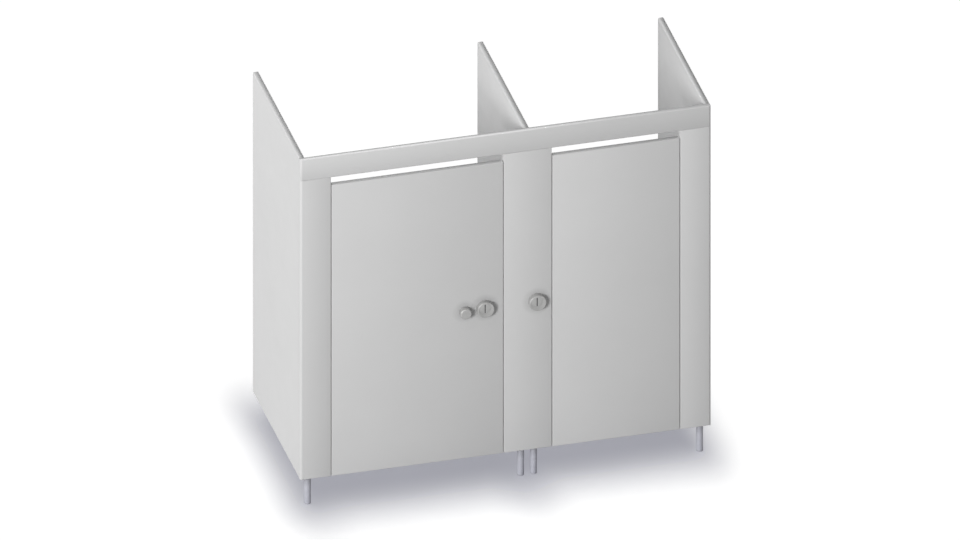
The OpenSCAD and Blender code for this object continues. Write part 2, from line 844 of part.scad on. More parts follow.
// Turn on the inner face: a round base with a waisted grip, on a hub through the case
module thumb_turn(x) {
    w0 = case_d + gap;
    color(metal_grey) at_lock(x) difference() {
        union() {
            translate([0, case_d - case_wall, 0]) inwards()
                cylinder(d = hub_d, h = case_wall + gap + over);
            translate([0, w0, 0]) inwards()
                cylinder(d1 = turn_base_d, d2 = turn_base_top_d, h = grip_base_t);
            translate([0, w0 + grip_base_t + grip_out, 0]) outwards()
                linear_extrude(grip_out + over) grip_outline();
        }
        translate([-square_a / 2 - square_fit, 0, -square_a / 2 - square_fit])
            cube([square_a + 2 * square_fit, case_d + grip_base_t + square_depth + 0.5,
                  square_a + 2 * square_fit]);
    }
}

// Upright bar with round ends, drawn in on both sides
module grip_outline() {
    difference() {
        union() {
            square([grip_w, grip_l - grip_w], center = true);
            for (s = [-1, 1]) translate([0, s * (grip_l - grip_w) / 2]) circle(d = grip_w);
        }
        for (s = [-1, 1]) translate([s * (waist_r + waist_wall), 0]) circle(r = waist_r);
    }
}

// Strap that the bolt's nose slides into
module keep(x) {
    half = keep_inner_h / 2 + keep_t;
    color(metal_grey) translate([x, board_t, lock_height]) difference() {
        rotate([90, 0, 90]) linear_extrude(keep_l) difference() {
            union() {
                translate([0, -half - keep_flange]) square([keep_t, 2 * half + 2 * keep_flange]);
                translate([0, -half])
                    round_rect([keep_inner_d + keep_t, 2 * half], [0, 2.5, 2.5, 0]);
            }
            translate([-over, -keep_inner_h / 2]) square([keep_inner_d + over, keep_inner_h]);
        }
        for (s = [-1, 1]) translate([keep_l / 2, -over, s * (half + keep_flange / 2)]) inwards()
            cylinder(d = screw_hole_d, h = keep_t + 2 * over);
    }
}

module left_rose() { rose(left_lock_x); }
module left_slot_disc() { slot_disc(left_lock_x); }
module left_spindle() { spindle(left_lock_x); }
module left_cam() { cam(left_lock_x); }
module left_bolt() { bolt(left_lock_x, left_tip); }
module left_lock_case() { lock_case(left_lock_x); }
module left_thumb_turn() { thumb_turn(left_lock_x); }
module left_keep() { keep(left_keep_x); }
module right_rose() { rose(right_lock_x); }
module right_slot_disc() { slot_disc(right_lock_x); }
module right_spindle() { spindle(right_lock_x); }
module right_cam() { cam(right_lock_x); }
module right_bolt() { bolt(right_lock_x, right_tip); }
module right_lock_case() { lock_case(right_lock_x); }
module right_thumb_turn() { thumb_turn(right_lock_x); }
module right_keep() { keep(right_keep_x); }

// ---------- Knob ----------
knob_bolt_d = 6;
knob_edge_r = 7;
knob_bore = 19;
knob_cap_r = 11;
knob_cap_h = 5;

module left_knob() {
    color(metal_grey) translate([knob_x, 0, knob_height]) outwards() rotate_extrude()
        difference() {
            square([knob_d / 2, knob_out]);
            corner_cut([knob_d / 2, knob_out], 180, knob_edge_r);
            translate([-over, -over]) square([knob_bolt_d / 2 + seat_fit + over, knob_bore + over]);
        }
}

// Bolt from the inner face into the knob, with a domed cap for a head
module left_knob_bolt() {
    color(metal_grey) translate([knob_x, board_t, knob_height]) rotate([90, 0, 0])
        rotate_extrude() {
            translate([0, -over]) square([knob_bolt_d / 2, board_t + knob_bore - over]);
            difference() {
                translate([0, -knob_cap_h]) square([knob_cap_r, knob_cap_h]);
                corner_cut([knob_cap_r, -knob_cap_h], 90, 3);
            }
        }
}

// ---------- Door stops ----------
// Joggled lug on a door's free edge; side is the way it laps over the pilaster
module stop_lugs(x, side) {
    color(zinc_grey) for (z = lug_levels)
        translate([x, board_t, z]) mirror([side < 0 ? 1 : 0, 0, 0]) difference() {
            translate([0, 0, -lug_h / 2]) linear_extrude(lug_h)
                polygon([[-lug_seat, 0], [-joggle_start, 0], [-joggle_end, lug_t], [lug_lap, lug_t],
                         [lug_lap, 2 * lug_t], [-joggle_end - joggle_wall, 2 * lug_t],
                         [-joggle_start - joggle_wall, lug_t], [-lug_seat, lug_t]]);
            for (s = [-1, 1]) translate([-lug_screw_dx, -over, s * lug_screw_dz]) inwards()
                cylinder(d = screw_hole_d, h = lug_t + 2 * over);
        }
}

// Rubber pad between a lug and the pilaster's inner face
module stop_pads(x, side) {
    start = door_side_gap + pad_inset;
    color(rubber_grey) for (z = lug_levels)
        translate([x, board_t, z]) mirror([side < 0 ? 1 : 0, 0, 0])
            translate([start, lug_t, 2 - lug_h / 2]) outwards() linear_extrude(lug_t - gap)
                round_rect([lug_lap - start, lug_h - 4], [2, 2, 2, 2]);
}

module left_stop_lugs() { stop_lugs(left_free_x, 1); }
module left_stop_pads() { stop_pads(left_free_x, 1); }
module right_stop_lugs() { stop_lugs(right_door_x, -1); }
module right_stop_pads() { stop_pads(right_door_x, -1); }

// ---------- Coat hooks ----------
// Plate with an arm that runs inwards and bends up
module coat_hook(x) {
    bend_w = hook_reach - hook_bend - hook_t;
    color(metal_grey) translate([x, board_t, hook_height]) {
        difference() {
            translate([-hook_plate[0] / 2, hook_plate[2], -hook_plate[1] / 2]) outwards()
                linear_extrude(hook_plate[2])
                    round_rect([hook_plate[0], hook_plate[1]], [8, 8, 8, 8]);
            for (s = [-1, 1]) translate([0, -over, s * hook_screw_dz]) inwards()
                cylinder(d = screw_hole_d, h = hook_plate[2] + 2 * over);
        }
        translate([-hook_w / 2, 0, 0]) rotate([90, 0, 90]) linear_extrude(hook_w) {
            translate([hook_plate[2] - over / 2, -hook_t / 2])
                square([bend_w - hook_plate[2] + over, hook_t]);
            translate([bend_w, hook_bend + hook_t / 2]) intersection() {
                difference() {
                    circle(hook_bend + hook_t);
                    circle(hook_bend);
                }
                translate([0, -hook_bend - hook_t]) square(hook_bend + hook_t);
            }
            translate([hook_reach - hook_t, hook_bend + hook_t / 2 - 0.5])
                square([hook_t, hook_rise - hook_bend - hook_t / 2]);
            translate([hook_reach - hook_t / 2, hook_rise - 0.5]) circle(hook_t / 2);
        }
    }
}

// Rubber button on the hook's outer side
module hook_buffer(x) {
    color(rubber_grey) translate([x, board_t + hook_reach, hook_height + hook_rise - buffer_d / 2])
        inwards() rotate_extrude() difference() {
            square([buffer_d / 2, buffer_t]);
            corner_cut([buffer_d / 2, buffer_t], 180, 2.5);
        }
}

module left_coat_hook() { coat_hook(left_hook_x); }
module left_hook_buffer() { hook_buffer(left_hook_x); }
module right_coat_hook() { coat_hook(right_hook_x); }
module right_hook_buffer() { hook_buffer(right_hook_x); }

place() left_end_panel();
place() divider_panel();
place() right_end_panel();
place() left_pilaster();
place() middle_pilaster();
place() right_pilaster();
place() headrail();
place() leg_left();
place() leg_middle_left();
place() leg_middle_right();
place() leg_right();
place() leg_studs();
place() foot_glides();
place() panel_brackets();
place() headrail_plates();
place() wall_brackets();
place() frame_screws();
place() left_hinge_frame_leaves();
place() left_hinge_pins();
place() right_hinge_frame_leaves();
place() right_hinge_pins();
place() left_keep();
place() left_door();
place() left_hinge_door_leaves();
place() left_knob();
place() left_knob_bolt();
place() left_stop_lugs();
place() left_stop_pads();
place() left_coat_hook();
place() left_hook_buffer();
place() left_rose();
place() left_lock_case();
place() left_door_screws();
place() left_slot_disc();
place() left_spindle();
place() left_cam();
place() left_thumb_turn();
place() left_bolt();
place() right_door();
place() right_hinge_door_leaves();
place() right_keep();
place() right_stop_lugs();
place() right_stop_pads();
place() right_coat_hook();
place() right_hook_buffer();
place() right_door_screws();
place() right_rose();
place() right_lock_case();
place() right_slot_disc();
place() right_spindle();
place() right_cam();
place() right_thumb_turn();
place() right_bolt();
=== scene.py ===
import json
import math

import bmesh
import bpy
from mathutils import Matrix, Vector

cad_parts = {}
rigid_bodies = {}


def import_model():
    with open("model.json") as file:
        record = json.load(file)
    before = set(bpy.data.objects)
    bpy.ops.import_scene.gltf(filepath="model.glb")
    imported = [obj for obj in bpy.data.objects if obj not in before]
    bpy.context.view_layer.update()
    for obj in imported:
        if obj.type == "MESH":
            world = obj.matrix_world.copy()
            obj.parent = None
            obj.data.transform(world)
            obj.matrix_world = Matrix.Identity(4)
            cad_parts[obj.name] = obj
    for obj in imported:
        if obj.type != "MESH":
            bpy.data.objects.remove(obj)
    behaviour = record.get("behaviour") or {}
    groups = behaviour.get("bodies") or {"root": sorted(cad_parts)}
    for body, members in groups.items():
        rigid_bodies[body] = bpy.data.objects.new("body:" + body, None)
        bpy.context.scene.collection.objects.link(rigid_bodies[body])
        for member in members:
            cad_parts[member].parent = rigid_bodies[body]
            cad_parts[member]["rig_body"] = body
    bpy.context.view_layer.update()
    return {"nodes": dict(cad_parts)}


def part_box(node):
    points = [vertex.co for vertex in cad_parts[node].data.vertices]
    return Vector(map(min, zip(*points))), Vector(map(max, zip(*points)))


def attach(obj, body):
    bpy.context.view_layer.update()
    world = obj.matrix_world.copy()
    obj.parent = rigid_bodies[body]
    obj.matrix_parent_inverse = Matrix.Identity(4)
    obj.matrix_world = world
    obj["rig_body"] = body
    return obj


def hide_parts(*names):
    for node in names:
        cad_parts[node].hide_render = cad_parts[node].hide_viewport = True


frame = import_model()
NODES = frame["nodes"]
# Edges sharper than this, in degrees, stay sharp in shading
SMOOTH_ANGLE = 30
# The corners of a square, anticlockwise
SQUARE = ((-1, -1), (1, -1), (1, 1), (-1, 1))


# ---------------------------------------------------------------- helpers
def lin(*rgb):
    """0-255 display values to a colour in linear light."""
    linear = []
    for value in rgb:
        share = value / 255.0
        linear.append(share / 12.92 if share <= 0.04045 else ((share + 0.055) / 1.055) ** 2.4)
    return (*linear, 1.0)


def tint(colour, factor):
    """The colour times a factor."""
    return (*(min(channel * factor, 1) for channel in colour[:3]), 1.0)


def smooth(mesh, angle=SMOOTH_ANGLE):
    """Smooth shading that leaves edges sharper than the angle as they are."""
    for face in mesh.polygons:
        face.use_smooth = True
    mesh.set_sharp_from_angle(angle=math.radians(angle))


def middle(node):
    """The X, Y and Z of the middle of a node's box."""
    lo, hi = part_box(node)
    return [(lo[i] + hi[i]) / 2 for i in range(3)]


def mesh_from(bm, name):
    """Turns a bmesh into a mesh and frees it."""
    mesh = bpy.data.meshes.new(name)
    bm.to_mesh(mesh)
    bm.free()
    return mesh


def make_piece(name, mesh, node, material):
    """A piece that stands for one node of the frame and rides on that node's body."""
    piece = bpy.data.objects.new(name, mesh)
    bpy.context.scene.collection.objects.link(piece)
    mesh.materials.append(material)
    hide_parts(node)
    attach(piece, NODES[node]["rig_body"])
    return piece


# ---------------------------------------------------------------- materials
# How strongly a bend of the surface counts as an edge that is rubbed
EDGE_GAIN = 5.0


class Graph:
    """A short way to write the node tree of a material or a world."""

    def __init__(self, owner, output="OutputMaterial"):
        self.owner = owner
        owner.use_nodes = True
        self.tree = owner.node_tree
        self.tree.nodes.clear()
        self.out = self.node(output)
        self.coord = self.node("TexCoord")

    def node(self, kind, **settings):
        made = self.tree.nodes.new("ShaderNode" + kind)
        for name, value in settings.items():
            setattr(made, name, value)
        return made

    def link(self, source, target):
        self.tree.links.new(source, target)

    def fill(self, socket, value):
        """Links a socket or sets a constant on it."""
        if isinstance(value, (tuple, float, int)):
            socket.default_value = value
        else:
            self.link(value, socket)

    def noise(self, scale, detail, rough=0.55, stretch=(1, 1, 1)):
        place = self.node("Mapping")
        place.inputs["Scale"].default_value = stretch
        self.link(self.coord.outputs["Object"], place.inputs["Vector"])
        made = self.node("TexNoise")
        made.inputs["Scale"].default_value = scale
        made.inputs["Detail"].default_value = detail
        made.inputs["Roughness"].default_value = rough
        self.link(place.outputs["Vector"], made.inputs["Vector"])
        return made.outputs["Fac"]

    def axes(self, vector):
        """The X, Y and Z of a vector."""
        parts = self.node("SeparateXYZ")
        self.link(vector, parts.inputs[0])
        return parts.outputs

    def remap(self, value, from_lo, from_hi, to_lo, to_hi, ease="LINEAR"):
        made = self.node("MapRange", interpolation_type=ease)
        made.inputs["From Min"].default_value = from_lo
        made.inputs["From Max"].default_value = from_hi
        made.inputs["To Min"].default_value = to_lo
        made.inputs["To Max"].default_value = to_hi
        self.link(value, made.inputs["Value"])
        return made.outputs["Result"]

    def mix(self, share, colour_a, colour_b):
        made = self.node("Mix", data_type="RGBA")
        for socket, value in ((0, share), (6, colour_a), (7, colour_b)):
            self.fill(made.inputs[socket], value)
        return made.outputs[2]

    def math(self, operation, *values):
        made = self.node("Math", operation=operation)
        for socket, value in enumerate(values):
            self.fill(made.inputs[socket], value)
        return made.outputs[0]

    def length(self, across, along):
        """The distance that two perpendicular lengths make."""
        squares = self.math("ADD", self.math("POWER", across, 2.0), self.math("POWER", along, 2.0))
        return self.math("SQRT", squares)

    def edges(self, radius):
        """About 1 on outer edges and 0 on flat surfaces."""
        rounded = self.node("Bevel", samples=4)
        rounded.inputs["Radius"].default_value = radius
        flat = self.node("NewGeometry")
        alike = self.node("VectorMath", operation="DOT_PRODUCT")
        self.link(rounded.outputs["Normal"], alike.inputs[0])
        self.link(flat.outputs["Normal"], alike.inputs[1])
        bend = self.math("SUBTRACT", 1.0, alike.outputs["Value"])
        clamp = self.node("Clamp")
        self.link(self.math("MULTIPLY", bend, EDGE_GAIN), clamp.inputs["Value"])
        return clamp.outputs["Result"]

    def bump(self, height, distance, strength):
        made = self.node("Bump")
        made.inputs["Distance"].default_value = distance
        made.inputs["Strength"].default_value = strength
        self.link(height, made.inputs["Height"])
        return made.outputs["Normal"]

    def surface(self, colour, rough, normal, **settings):
        """Ends a material's tree and gives the material."""
        shader = self.node("BsdfPrincipled")
        self.link(colour, shader.inputs["Base Color"])
        self.link(rough, shader.inputs["Roughness"])
        self.link(normal, shader.inputs["Normal"])
        for name, value in settings.items():
            shader.inputs[name.replace("_", " ")].default_value = value
        self.link(shader.outputs["BSDF"], self.out.inputs["Surface"])
        return self.owner

    def shows_itself(self):
        """1 where the camera or a reflection sees this directly, and 0 where it only gives light."""
        path = self.node("LightPath")
        mirrored = self.math("MAXIMUM", path.outputs["Is Glossy Ray"], path.outputs["Is Transmission Ray"])
        return self.math("MAXIMUM", path.outputs["Is Camera Ray"], mirrored)


def new_material(name):
    return Graph(bpy.data.materials.new(name))


# Painted contact shadow round a fitting: how wide, how strong, its tone, and how deep behind the face it
# ends
SHADOW_BAND_WIDTH = 0.036
SHADOW_BAND_STRENGTH = 0.23
SHADOW_BAND_TONE = (0.06, 0.06, 0.06, 1.0)
FACE_DEPTH = 0.003


def painted_fitting_shadow(g, colour, around):
    """Paints a grey ring of contact shadow on the front face round each fitting."""
    place = g.axes(g.coord.outputs["Object"])
    for node in around:
        lo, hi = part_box(node)
        mid_x, _, mid_z = middle(node)
        across = g.math("SUBTRACT", place["X"], mid_x)
        up = g.math("SUBTRACT", place["Z"], mid_z)
        radius = (hi.x - lo.x) / 2
        ring = g.remap(g.length(across, up), radius, radius + SHADOW_BAND_WIDTH, SHADOW_BAND_STRENGTH, 0.0)
        front = g.remap(place["Y"], hi.y, hi.y + FACE_DEPTH, 1.0, 0.0)
        colour = g.mix(g.math("MULTIPLY", ring, front), colour, SHADOW_BAND_TONE)
    return colour


def painted_corner_shade(g, colour, base):
    """Paints shade into inner corners, so that they are darker than open faces."""
    hollow = g.node("AmbientOcclusion", samples=6)
    hollow.inputs["Distance"].default_value = 0.05
    return g.mix(g.remap(hollow.outputs["AO"], 0.45, 1.0, 1.0, 0.0), colour, tint(base, 0.42))


def board_material(name, base, shade_corners=False, around=()):
    """Pale satin laminate: a fine pebbled face, faint clouding and rubbed edges, and where asked painted
    contact shadow round fittings and painted shade in inner corners.
    """
    g = new_material(name)
    cloud = g.noise(2.3, detail=4.0, rough=0.6)
    pebble = g.noise(900.0, detail=2.0, rough=0.5)
    grain = g.noise(260.0, detail=3.0, rough=0.6)
    worn = g.remap(g.noise(38.0, detail=4.0, rough=0.7), 0.42, 0.66, 0.0, 1.0)
    rub = g.math("MULTIPLY", g.edges(0.004), worn)
    colour = g.mix(g.remap(cloud, 0.3, 0.7, 0.0, 1.0), tint(base, 0.985), tint(base, 1.012))
    colour = g.mix(g.remap(grain, 0.45, 0.75, 0.0, 0.35), colour, tint(base, 0.965))
    colour = g.mix(g.math("MULTIPLY", rub, 0.35), colour, tint(base, 1.10))
    colour = painted_fitting_shadow(g, colour, around)
    # Painted shade in inner corners
    if shade_corners:
        colour = painted_corner_shade(g, colour, base)
    rough = g.remap(g.noise(9.0, detail=5.0, rough=0.65), 0.3, 0.7, 0.42, 0.54)
    height = g.math("ADD", g.math("MULTIPLY", pebble, 0.35), grain)
    return g.surface(colour, rough, g.bump(height, 0.00006, 0.6), Specular_IOR_Level=0.35)


def metal_material(name, base, rough, metallic, stretch, scale, wear, shade_bands=()):
    """Satin metal with fine brushing along the axis that stretch leaves long.

    rough: lowest and highest roughness. wear: how bright the edges are rubbed.
    Last argument: bands of painted shade, each (height where it is unshaded, height where it is darkest,
    depth).
    """
    g = new_material(name)
    brush = g.noise(scale, detail=3.0, rough=0.6, stretch=stretch)
    blotch = g.noise(34.0, detail=4.0, rough=0.6)
    worn = g.remap(g.noise(160.0, detail=3.0, rough=0.7), 0.38, 0.62, 0.2, 1.0)
    rub = g.math("MULTIPLY", g.edges(0.0008), worn)
    colour = g.mix(g.remap(blotch, 0.3, 0.7, 0.0, 1.0), tint(base, 0.93), tint(base, 1.03))
    colour = g.mix(g.remap(brush, 0.35, 0.7, 0.0, 0.4), colour, tint(base, 0.88))
    colour = g.mix(g.math("MULTIPLY", rub, wear), colour, tint(base, 1.22))
    # Painted shade: the colour darkens along Z in each band
    for z_unshaded, z_shaded, depth in shade_bands:
        z = g.axes(g.coord.outputs["Object"])["Z"]
        colour = g.mix(g.remap(z, z_unshaded, z_shaded, 0.0, depth), colour, tint(base, 0.02))
    uneven = g.math("ADD", g.math("MULTIPLY", brush, 0.6), g.math("MULTIPLY", blotch, 0.4))
    sheen = g.remap(uneven, 0.3, 0.7, *rough)
    return g.surface(colour, sheen, g.bump(brush, 0.00002, 0.7), Metallic=metallic)


def zinc_material(name, base):
    """Zinc plating: pale spangle with a slightly warm and cool clouding."""
    g = new_material(name)
    spangle = g.node("TexVoronoi")
    spangle.inputs["Scale"].default_value = 260.0
    g.link(g.coord.outputs["Object"], spangle.inputs["Vector"])
    cloud = g.noise(46.0, detail=4.0, rough=0.6)
    warm = (base[0] * 1.02, base[1], base[2] * 0.93, 1.0)
    cool = (base[0] * 0.94, base[1] * 0.98, base[2] * 1.04, 1.0)
    colour = g.mix(g.remap(cloud, 0.35, 0.65, 0.0, 1.0), warm, cool)
    colour = g.mix(g.remap(spangle.outputs["Distance"], 0.0, 0.8, 0.0, 0.25), colour, tint(base, 0.8))
    colour = g.mix(g.math("MULTIPLY", g.edges(0.0006), 0.4), colour, tint(base, 1.2))
    rough = g.remap(cloud, 0.3, 0.7, 0.34, 0.5)
    return g.surface(colour, rough, g.bump(g.noise(700.0, detail=2.0), 0.00002, 0.5), Metallic=0.8)


def rubber_material(name, base, dust_tone):
    """Matt rubber or nylon with dust in its pores."""
    g = new_material(name)
    pores = g.noise(1400.0, detail=3.0, rough=0.6)
    dust = g.noise(60.0, detail=5.0, rough=0.7)
    colour = g.mix(g.remap(dust, 0.42, 0.7, 0.0, 0.5), base, tint(base, dust_tone))
    colour = g.mix(g.math("MULTIPLY", g.edges(0.001), 0.4), colour, tint(base, dust_tone * 1.2))
    rough = g.remap(dust, 0.3, 0.7, 0.62, 0.8)
    return g.surface(colour, rough, g.bump(pores, 0.00005, 0.6), Specular_IOR_Level=0.3)


BOARD_TONE = lin(203, 203, 203)
BOARD = board_material("board_laminate", BOARD_TONE)
# Side panels get painted shade in their inner corners
PANEL_BOARD = board_material("panel_laminate", BOARD_TONE, shade_corners=True)
# Boards with painted contact shadow round their fittings
FITTING_SHADOWED = {
    "left_door": board_material("left_door_laminate", BOARD_TONE, around=("left_rose", "left_knob")),
    "middle_pilaster": board_material("middle_pilaster_laminate", BOARD_TONE, around=("right_rose",)),
}
# Brushing that has no direction, and brushing along an upright
EVEN = (1, 1, 1)
UPRIGHT = (1, 1, 0.05)
LEG_BRUSH = (1, 1, 0.04)
LEG_TONE = lin(190, 191, 200)
LEG_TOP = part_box("leg_left")[1].z
# Painted shade on the legs' tops, darkest right under the boards
LEG_TOP_SHADE = ((LEG_TOP - 0.125, LEG_TOP - 0.025, 0.16), (LEG_TOP - 0.045, LEG_TOP, 0.30))
LEG = metal_material("leg_satin_tube", LEG_TONE, (0.42, 0.52), 0.12, LEG_BRUSH, 900.0, 0.3, LEG_TOP_SHADE)
LOCK = metal_material("lock_satin_grey", lin(172, 172, 171), (0.42, 0.55), 0.35, EVEN, 1400.0, 0.35)
# Dark material that stands for the shade inside a slot
SLOT_SHADE = metal_material("slot_painted_shade", lin(96, 96, 97), (0.5, 0.6), 0.3, EVEN, 1400.0, 0.2)
HINGE = metal_material("hinge_brushed_steel", lin(188, 188, 190), (0.3, 0.45), 0.85, UPRIGHT, 900.0, 0.4)
CASE = metal_material("case_satin_grey", lin(176, 176, 176), (0.38, 0.5), 0.5, (0.06, 1, 1), 900.0, 0.4)
ZINC = zinc_material("zinc_plate", lin(184, 186, 190))
RUBBER = rubber_material("rubber_grey", (0.045, 0.045, 0.048, 1.0), 3.4)
GLIDE = rubber_material("glide_pale_nylon", lin(172, 173, 181), 0.95)

# ---------------------------------------------------------------- boards
# Radii of the boards' edges
CORNER = 0.012
EDGE = 0.004
SOFT = 0.002
FINE = 0.001
# A rounding has one step for each such length in its radius, and three at least
ARC_STEP = 0.0012
# Flat strip beside each rounding, which keeps the shading of the rounding to itself
STRIP = 0.007
# How far the shading of a face turns outwards from its middle to its edges, across and upwards
CROWN = (0.155, 0.15)
HEADRAIL_CROWN = (0.155, 0.26)
# Top and bottom faces, whose normal is more upright than this, are shaded as if rounded over
END_FROM = 0.5
END_CROWN = 1.1
END_TURN = 0.65
END_LEAN = (0.45, -0.3)
# Points closer than this to a side that draws in move with it
TOUCHING = 1e-6
# Points that are the same to so many digits of a metre become one
MERGE_DIGITS = 6


def arc_steps(radius):
    """How many steps a quarter circle has."""
    return max(3, round(radius / ARC_STEP))


def plan_loop(w, d, radii):
    """Rounded rectangle from the origin, anticlockwise: (x, y, angle of the normal) of each point."""
    points = []
    for i, (corner_x, corner_y) in enumerate(((0, 0), (w, 0), (w, d), (0, d))):
        r = radii[i]
        x = corner_x + (r if corner_x == 0 else -r)
        y = corner_y + (r if corner_y == 0 else -r)
        start = math.pi + i * math.pi / 2
        steps = arc_steps(r)
        angles = [start + math.pi / 2 * k / steps for k in range(steps + 1)]
        for a, ahead in ((angles[0], -STRIP), *((a, 0.0) for a in angles), (angles[-1], STRIP)):
            out_x, out_y = math.cos(a), math.sin(a)
            points.append((x + r * out_x - ahead * out_y, y + r * out_y + ahead * out_x, a))
    return points


def board_heights(h, end_r):
    """Heights of the rings of points, from 0 to h."""
    heights = {0.0, h}
    for bottom_r, top_r in end_r:
        for r, top in ((bottom_r, False), (top_r, True)):
            steps = arc_steps(r)
            rises = [r - r * math.cos(math.pi / 2 * k / steps) for k in range(steps + 1)]
            for rise in rises + [r + STRIP]:
                heights.add(round(h - rise if top else rise, 7))
    return sorted(heights)


def rounding(z, h, bottom_r, top_r):
    """How far a side draws in at the height z, and the Z of its normal there."""
    for r, into, up in ((bottom_r, bottom_r - z, -1), (top_r, top_r - (h - z), 1)):
        if into > 0:
            return r - math.sqrt(max(r * r - into * into, 0)), up * into / r
    return 0.0, 0.0


def crowned(n, share, thin, crown, lean):
    """The normal that a point is shaded with, because pressed laminate is very slightly crowned.

    share: where the point lies in the board, from 0 to 1 on each axis. thin: the axis of its thickness.
    """
    if abs(n.z) > END_FROM:
        if thin == 0:
            n.x += END_CROWN * (2 * share.x - 1) + END_LEAN[0]
        else:
            n.x += END_TURN * share.y ** 2
        n.y += END_LEAN[1]
        return n.normalized()
    wide = 1 - thin
    weight = abs(n[thin])
    n[wide] += weight * (crown[0] * (2 * share[wide] - 1) + lean[0])
    n.z += weight * (crown[1] * (2 * share.z - 1) + lean[1])
    return n.normalized()


def merged_mesh(name, spots, normals, faces):
    """A smooth mesh in which points at one place become one point."""
    keys = [tuple(round(c, MERGE_DIGITS) for c in spot) for spot in spots]
    index, kept_spots, kept_normals = {}, [], []
    for key, spot, n in zip(keys, spots, normals):
        if key not in index:
            index[key] = len(kept_spots)
            kept_spots.append(spot)
            kept_normals.append(Vector())
        kept_normals[index[key]] += n
    rings = [list(dict.fromkeys(index[keys[i]] for i in face)) for face in faces]
    mesh = bpy.data.meshes.new(name)
    mesh.from_pydata(kept_spots, [], [ring for ring in rings if len(ring) > 2])
    mesh.validate()
    for face in mesh.polygons:
        face.use_smooth = True
    mesh.normals_split_custom_set_from_vertices([n.normalized() for n in kept_normals])
    return mesh


def board(node, plan_r, end_r, thin, crown, lean, material):
    """A board with rounded edges in the place of a node.

    plan_r: radii of the upright edges, anticlockwise from the front low X corner.
    end_r: (bottom, top) radii of the front, high X, back and low X sides.
    """
    lo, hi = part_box(node)
    w, d, h = (hi[i] - lo[i] for i in range(3))
    loop = plan_loop(w, d, plan_r)
    heights = board_heights(h, end_r)
    # Axis, place and direction of each side
    sides = ((1, 0, -1), (0, w, 1), (1, d, 1), (0, 0, -1))
    spots, normals = [], []
    for z in heights:
        for x, y, angle in loop:
            at = [x, y]
            n = Vector((math.cos(angle), math.sin(angle), 0))
            turned = []
            for (axis, limit, sign), radii in zip(sides, end_r):
                inset, up = rounding(z, h, *radii)
                draws_in = inset > 0 or up != 0
                if draws_in and sign * (limit - at[axis]) - inset < TOUCHING:
                    at[axis] = limit - sign * inset
                    side_normal = Vector((0, 0, up))
                    side_normal[axis] = sign * math.sqrt(max(1 - up * up, 0))
                    turned.append(side_normal)
            if turned:
                n = sum(turned, Vector()).normalized()
            share = Vector((at[0] / w, at[1] / d, z / h))
            normals.append(crowned(n, share, thin, crown, lean))
            spots.append((lo.x + at[0], lo.y + at[1], lo.z + z))
    m = len(loop)
    top = (len(heights) - 1) * m
    faces = []
    for j in range(0, top, m):
        for i in range(m):
            k = (i + 1) % m
            faces.append((j + i, j + k, j + m + k, j + m + i))
    faces.append(tuple(reversed(range(m))))
    faces.append(tuple(top + i for i in range(m)))
    mesh = merged_mesh(node + "_board", spots, normals, faces)
    make_piece(node + "_board", mesh, node, material)


# Radii of each front board: its upright edges anticlockwise from the front left one, and then the
# bottom and top edges of its front
FRONT = {
    "left_pilaster": ((CORNER, SOFT, FINE, FINE), (EDGE, FINE)),
    "middle_pilaster": ((FINE, SOFT, FINE, FINE), (EDGE, FINE)),
    "right_pilaster": ((SOFT, CORNER, FINE, FINE), (EDGE, FINE)),
    "headrail": ((CORNER, CORNER, FINE, FINE), (EDGE, SOFT)),
    "left_door": ((SOFT, FINE, FINE, FINE), (EDGE, SOFT)),
    "right_door": ((SOFT, SOFT, FINE, FINE), (EDGE, SOFT)),
}
for node, (plan_r, front_r) in FRONT.items():
    crown = HEADRAIL_CROWN if node == "headrail" else CROWN
    end_r = (front_r, (FINE, FINE), (FINE, FINE), (FINE, FINE))
    board(node, plan_r, end_r, 1, crown, (0.0, 0.0), FITTING_SHADOWED.get(node, BOARD))

# Crown and lean of each side panel's faces
PANELS = {
    "left_end_panel": ((-0.03, 0.05), (-0.10, 0.03)),
    "divider_panel": ((0.10, 0.04), (0.04, -0.03)),
    "right_end_panel": ((0.17, 0.04), (0.24, -0.06)),
}
for node, (crown, lean) in PANELS.items():
    end_r = ((FINE, FINE), (EDGE, EDGE), (FINE, FINE), (EDGE, EDGE))
    board(node, (FINE, FINE, EDGE, EDGE), end_r, 0, crown, lean, PANEL_BOARD)

# ---------------------------------------------------------------- pieces from the nodes' own forms
# Distances under which points are one and faces are slivers
WELD = 2e-6
SLIVER = 5e-7
# Degrees under which two faces are one flat face, and over which their edge is softened
FLAT_ANGLE = 0.5
SHARP_ANGLE = 32


def refine(node, material, width=0.0004, slivers=False):
    """The node's own form with its sharp edges softened; slivers says that this leaves some to remove."""
    bm = bmesh.new()
    bm.from_mesh(NODES[node].data)
    bmesh.ops.remove_doubles(bm, verts=bm.verts, dist=WELD)
    bmesh.ops.dissolve_limit(bm, angle_limit=math.radians(FLAT_ANGLE), verts=bm.verts, edges=bm.edges)
    limit = math.radians(SHARP_ANGLE)
    sharp = [edge for edge in bm.edges if len(edge.link_faces) == 2 and edge.calc_face_angle(0) > limit]
    if width > 0 and sharp:
        bmesh.ops.bevel(bm, geom=sharp, offset=width, segments=2, profile=0.6,
                        affect="EDGES", clamp_overlap=True)
    if slivers:
        bmesh.ops.dissolve_degenerate(bm, dist=SLIVER, edges=bm.edges)
    mesh = mesh_from(bm, node + "_fine")
    smooth(mesh)
    return make_piece(node + "_fine", mesh, node, material)


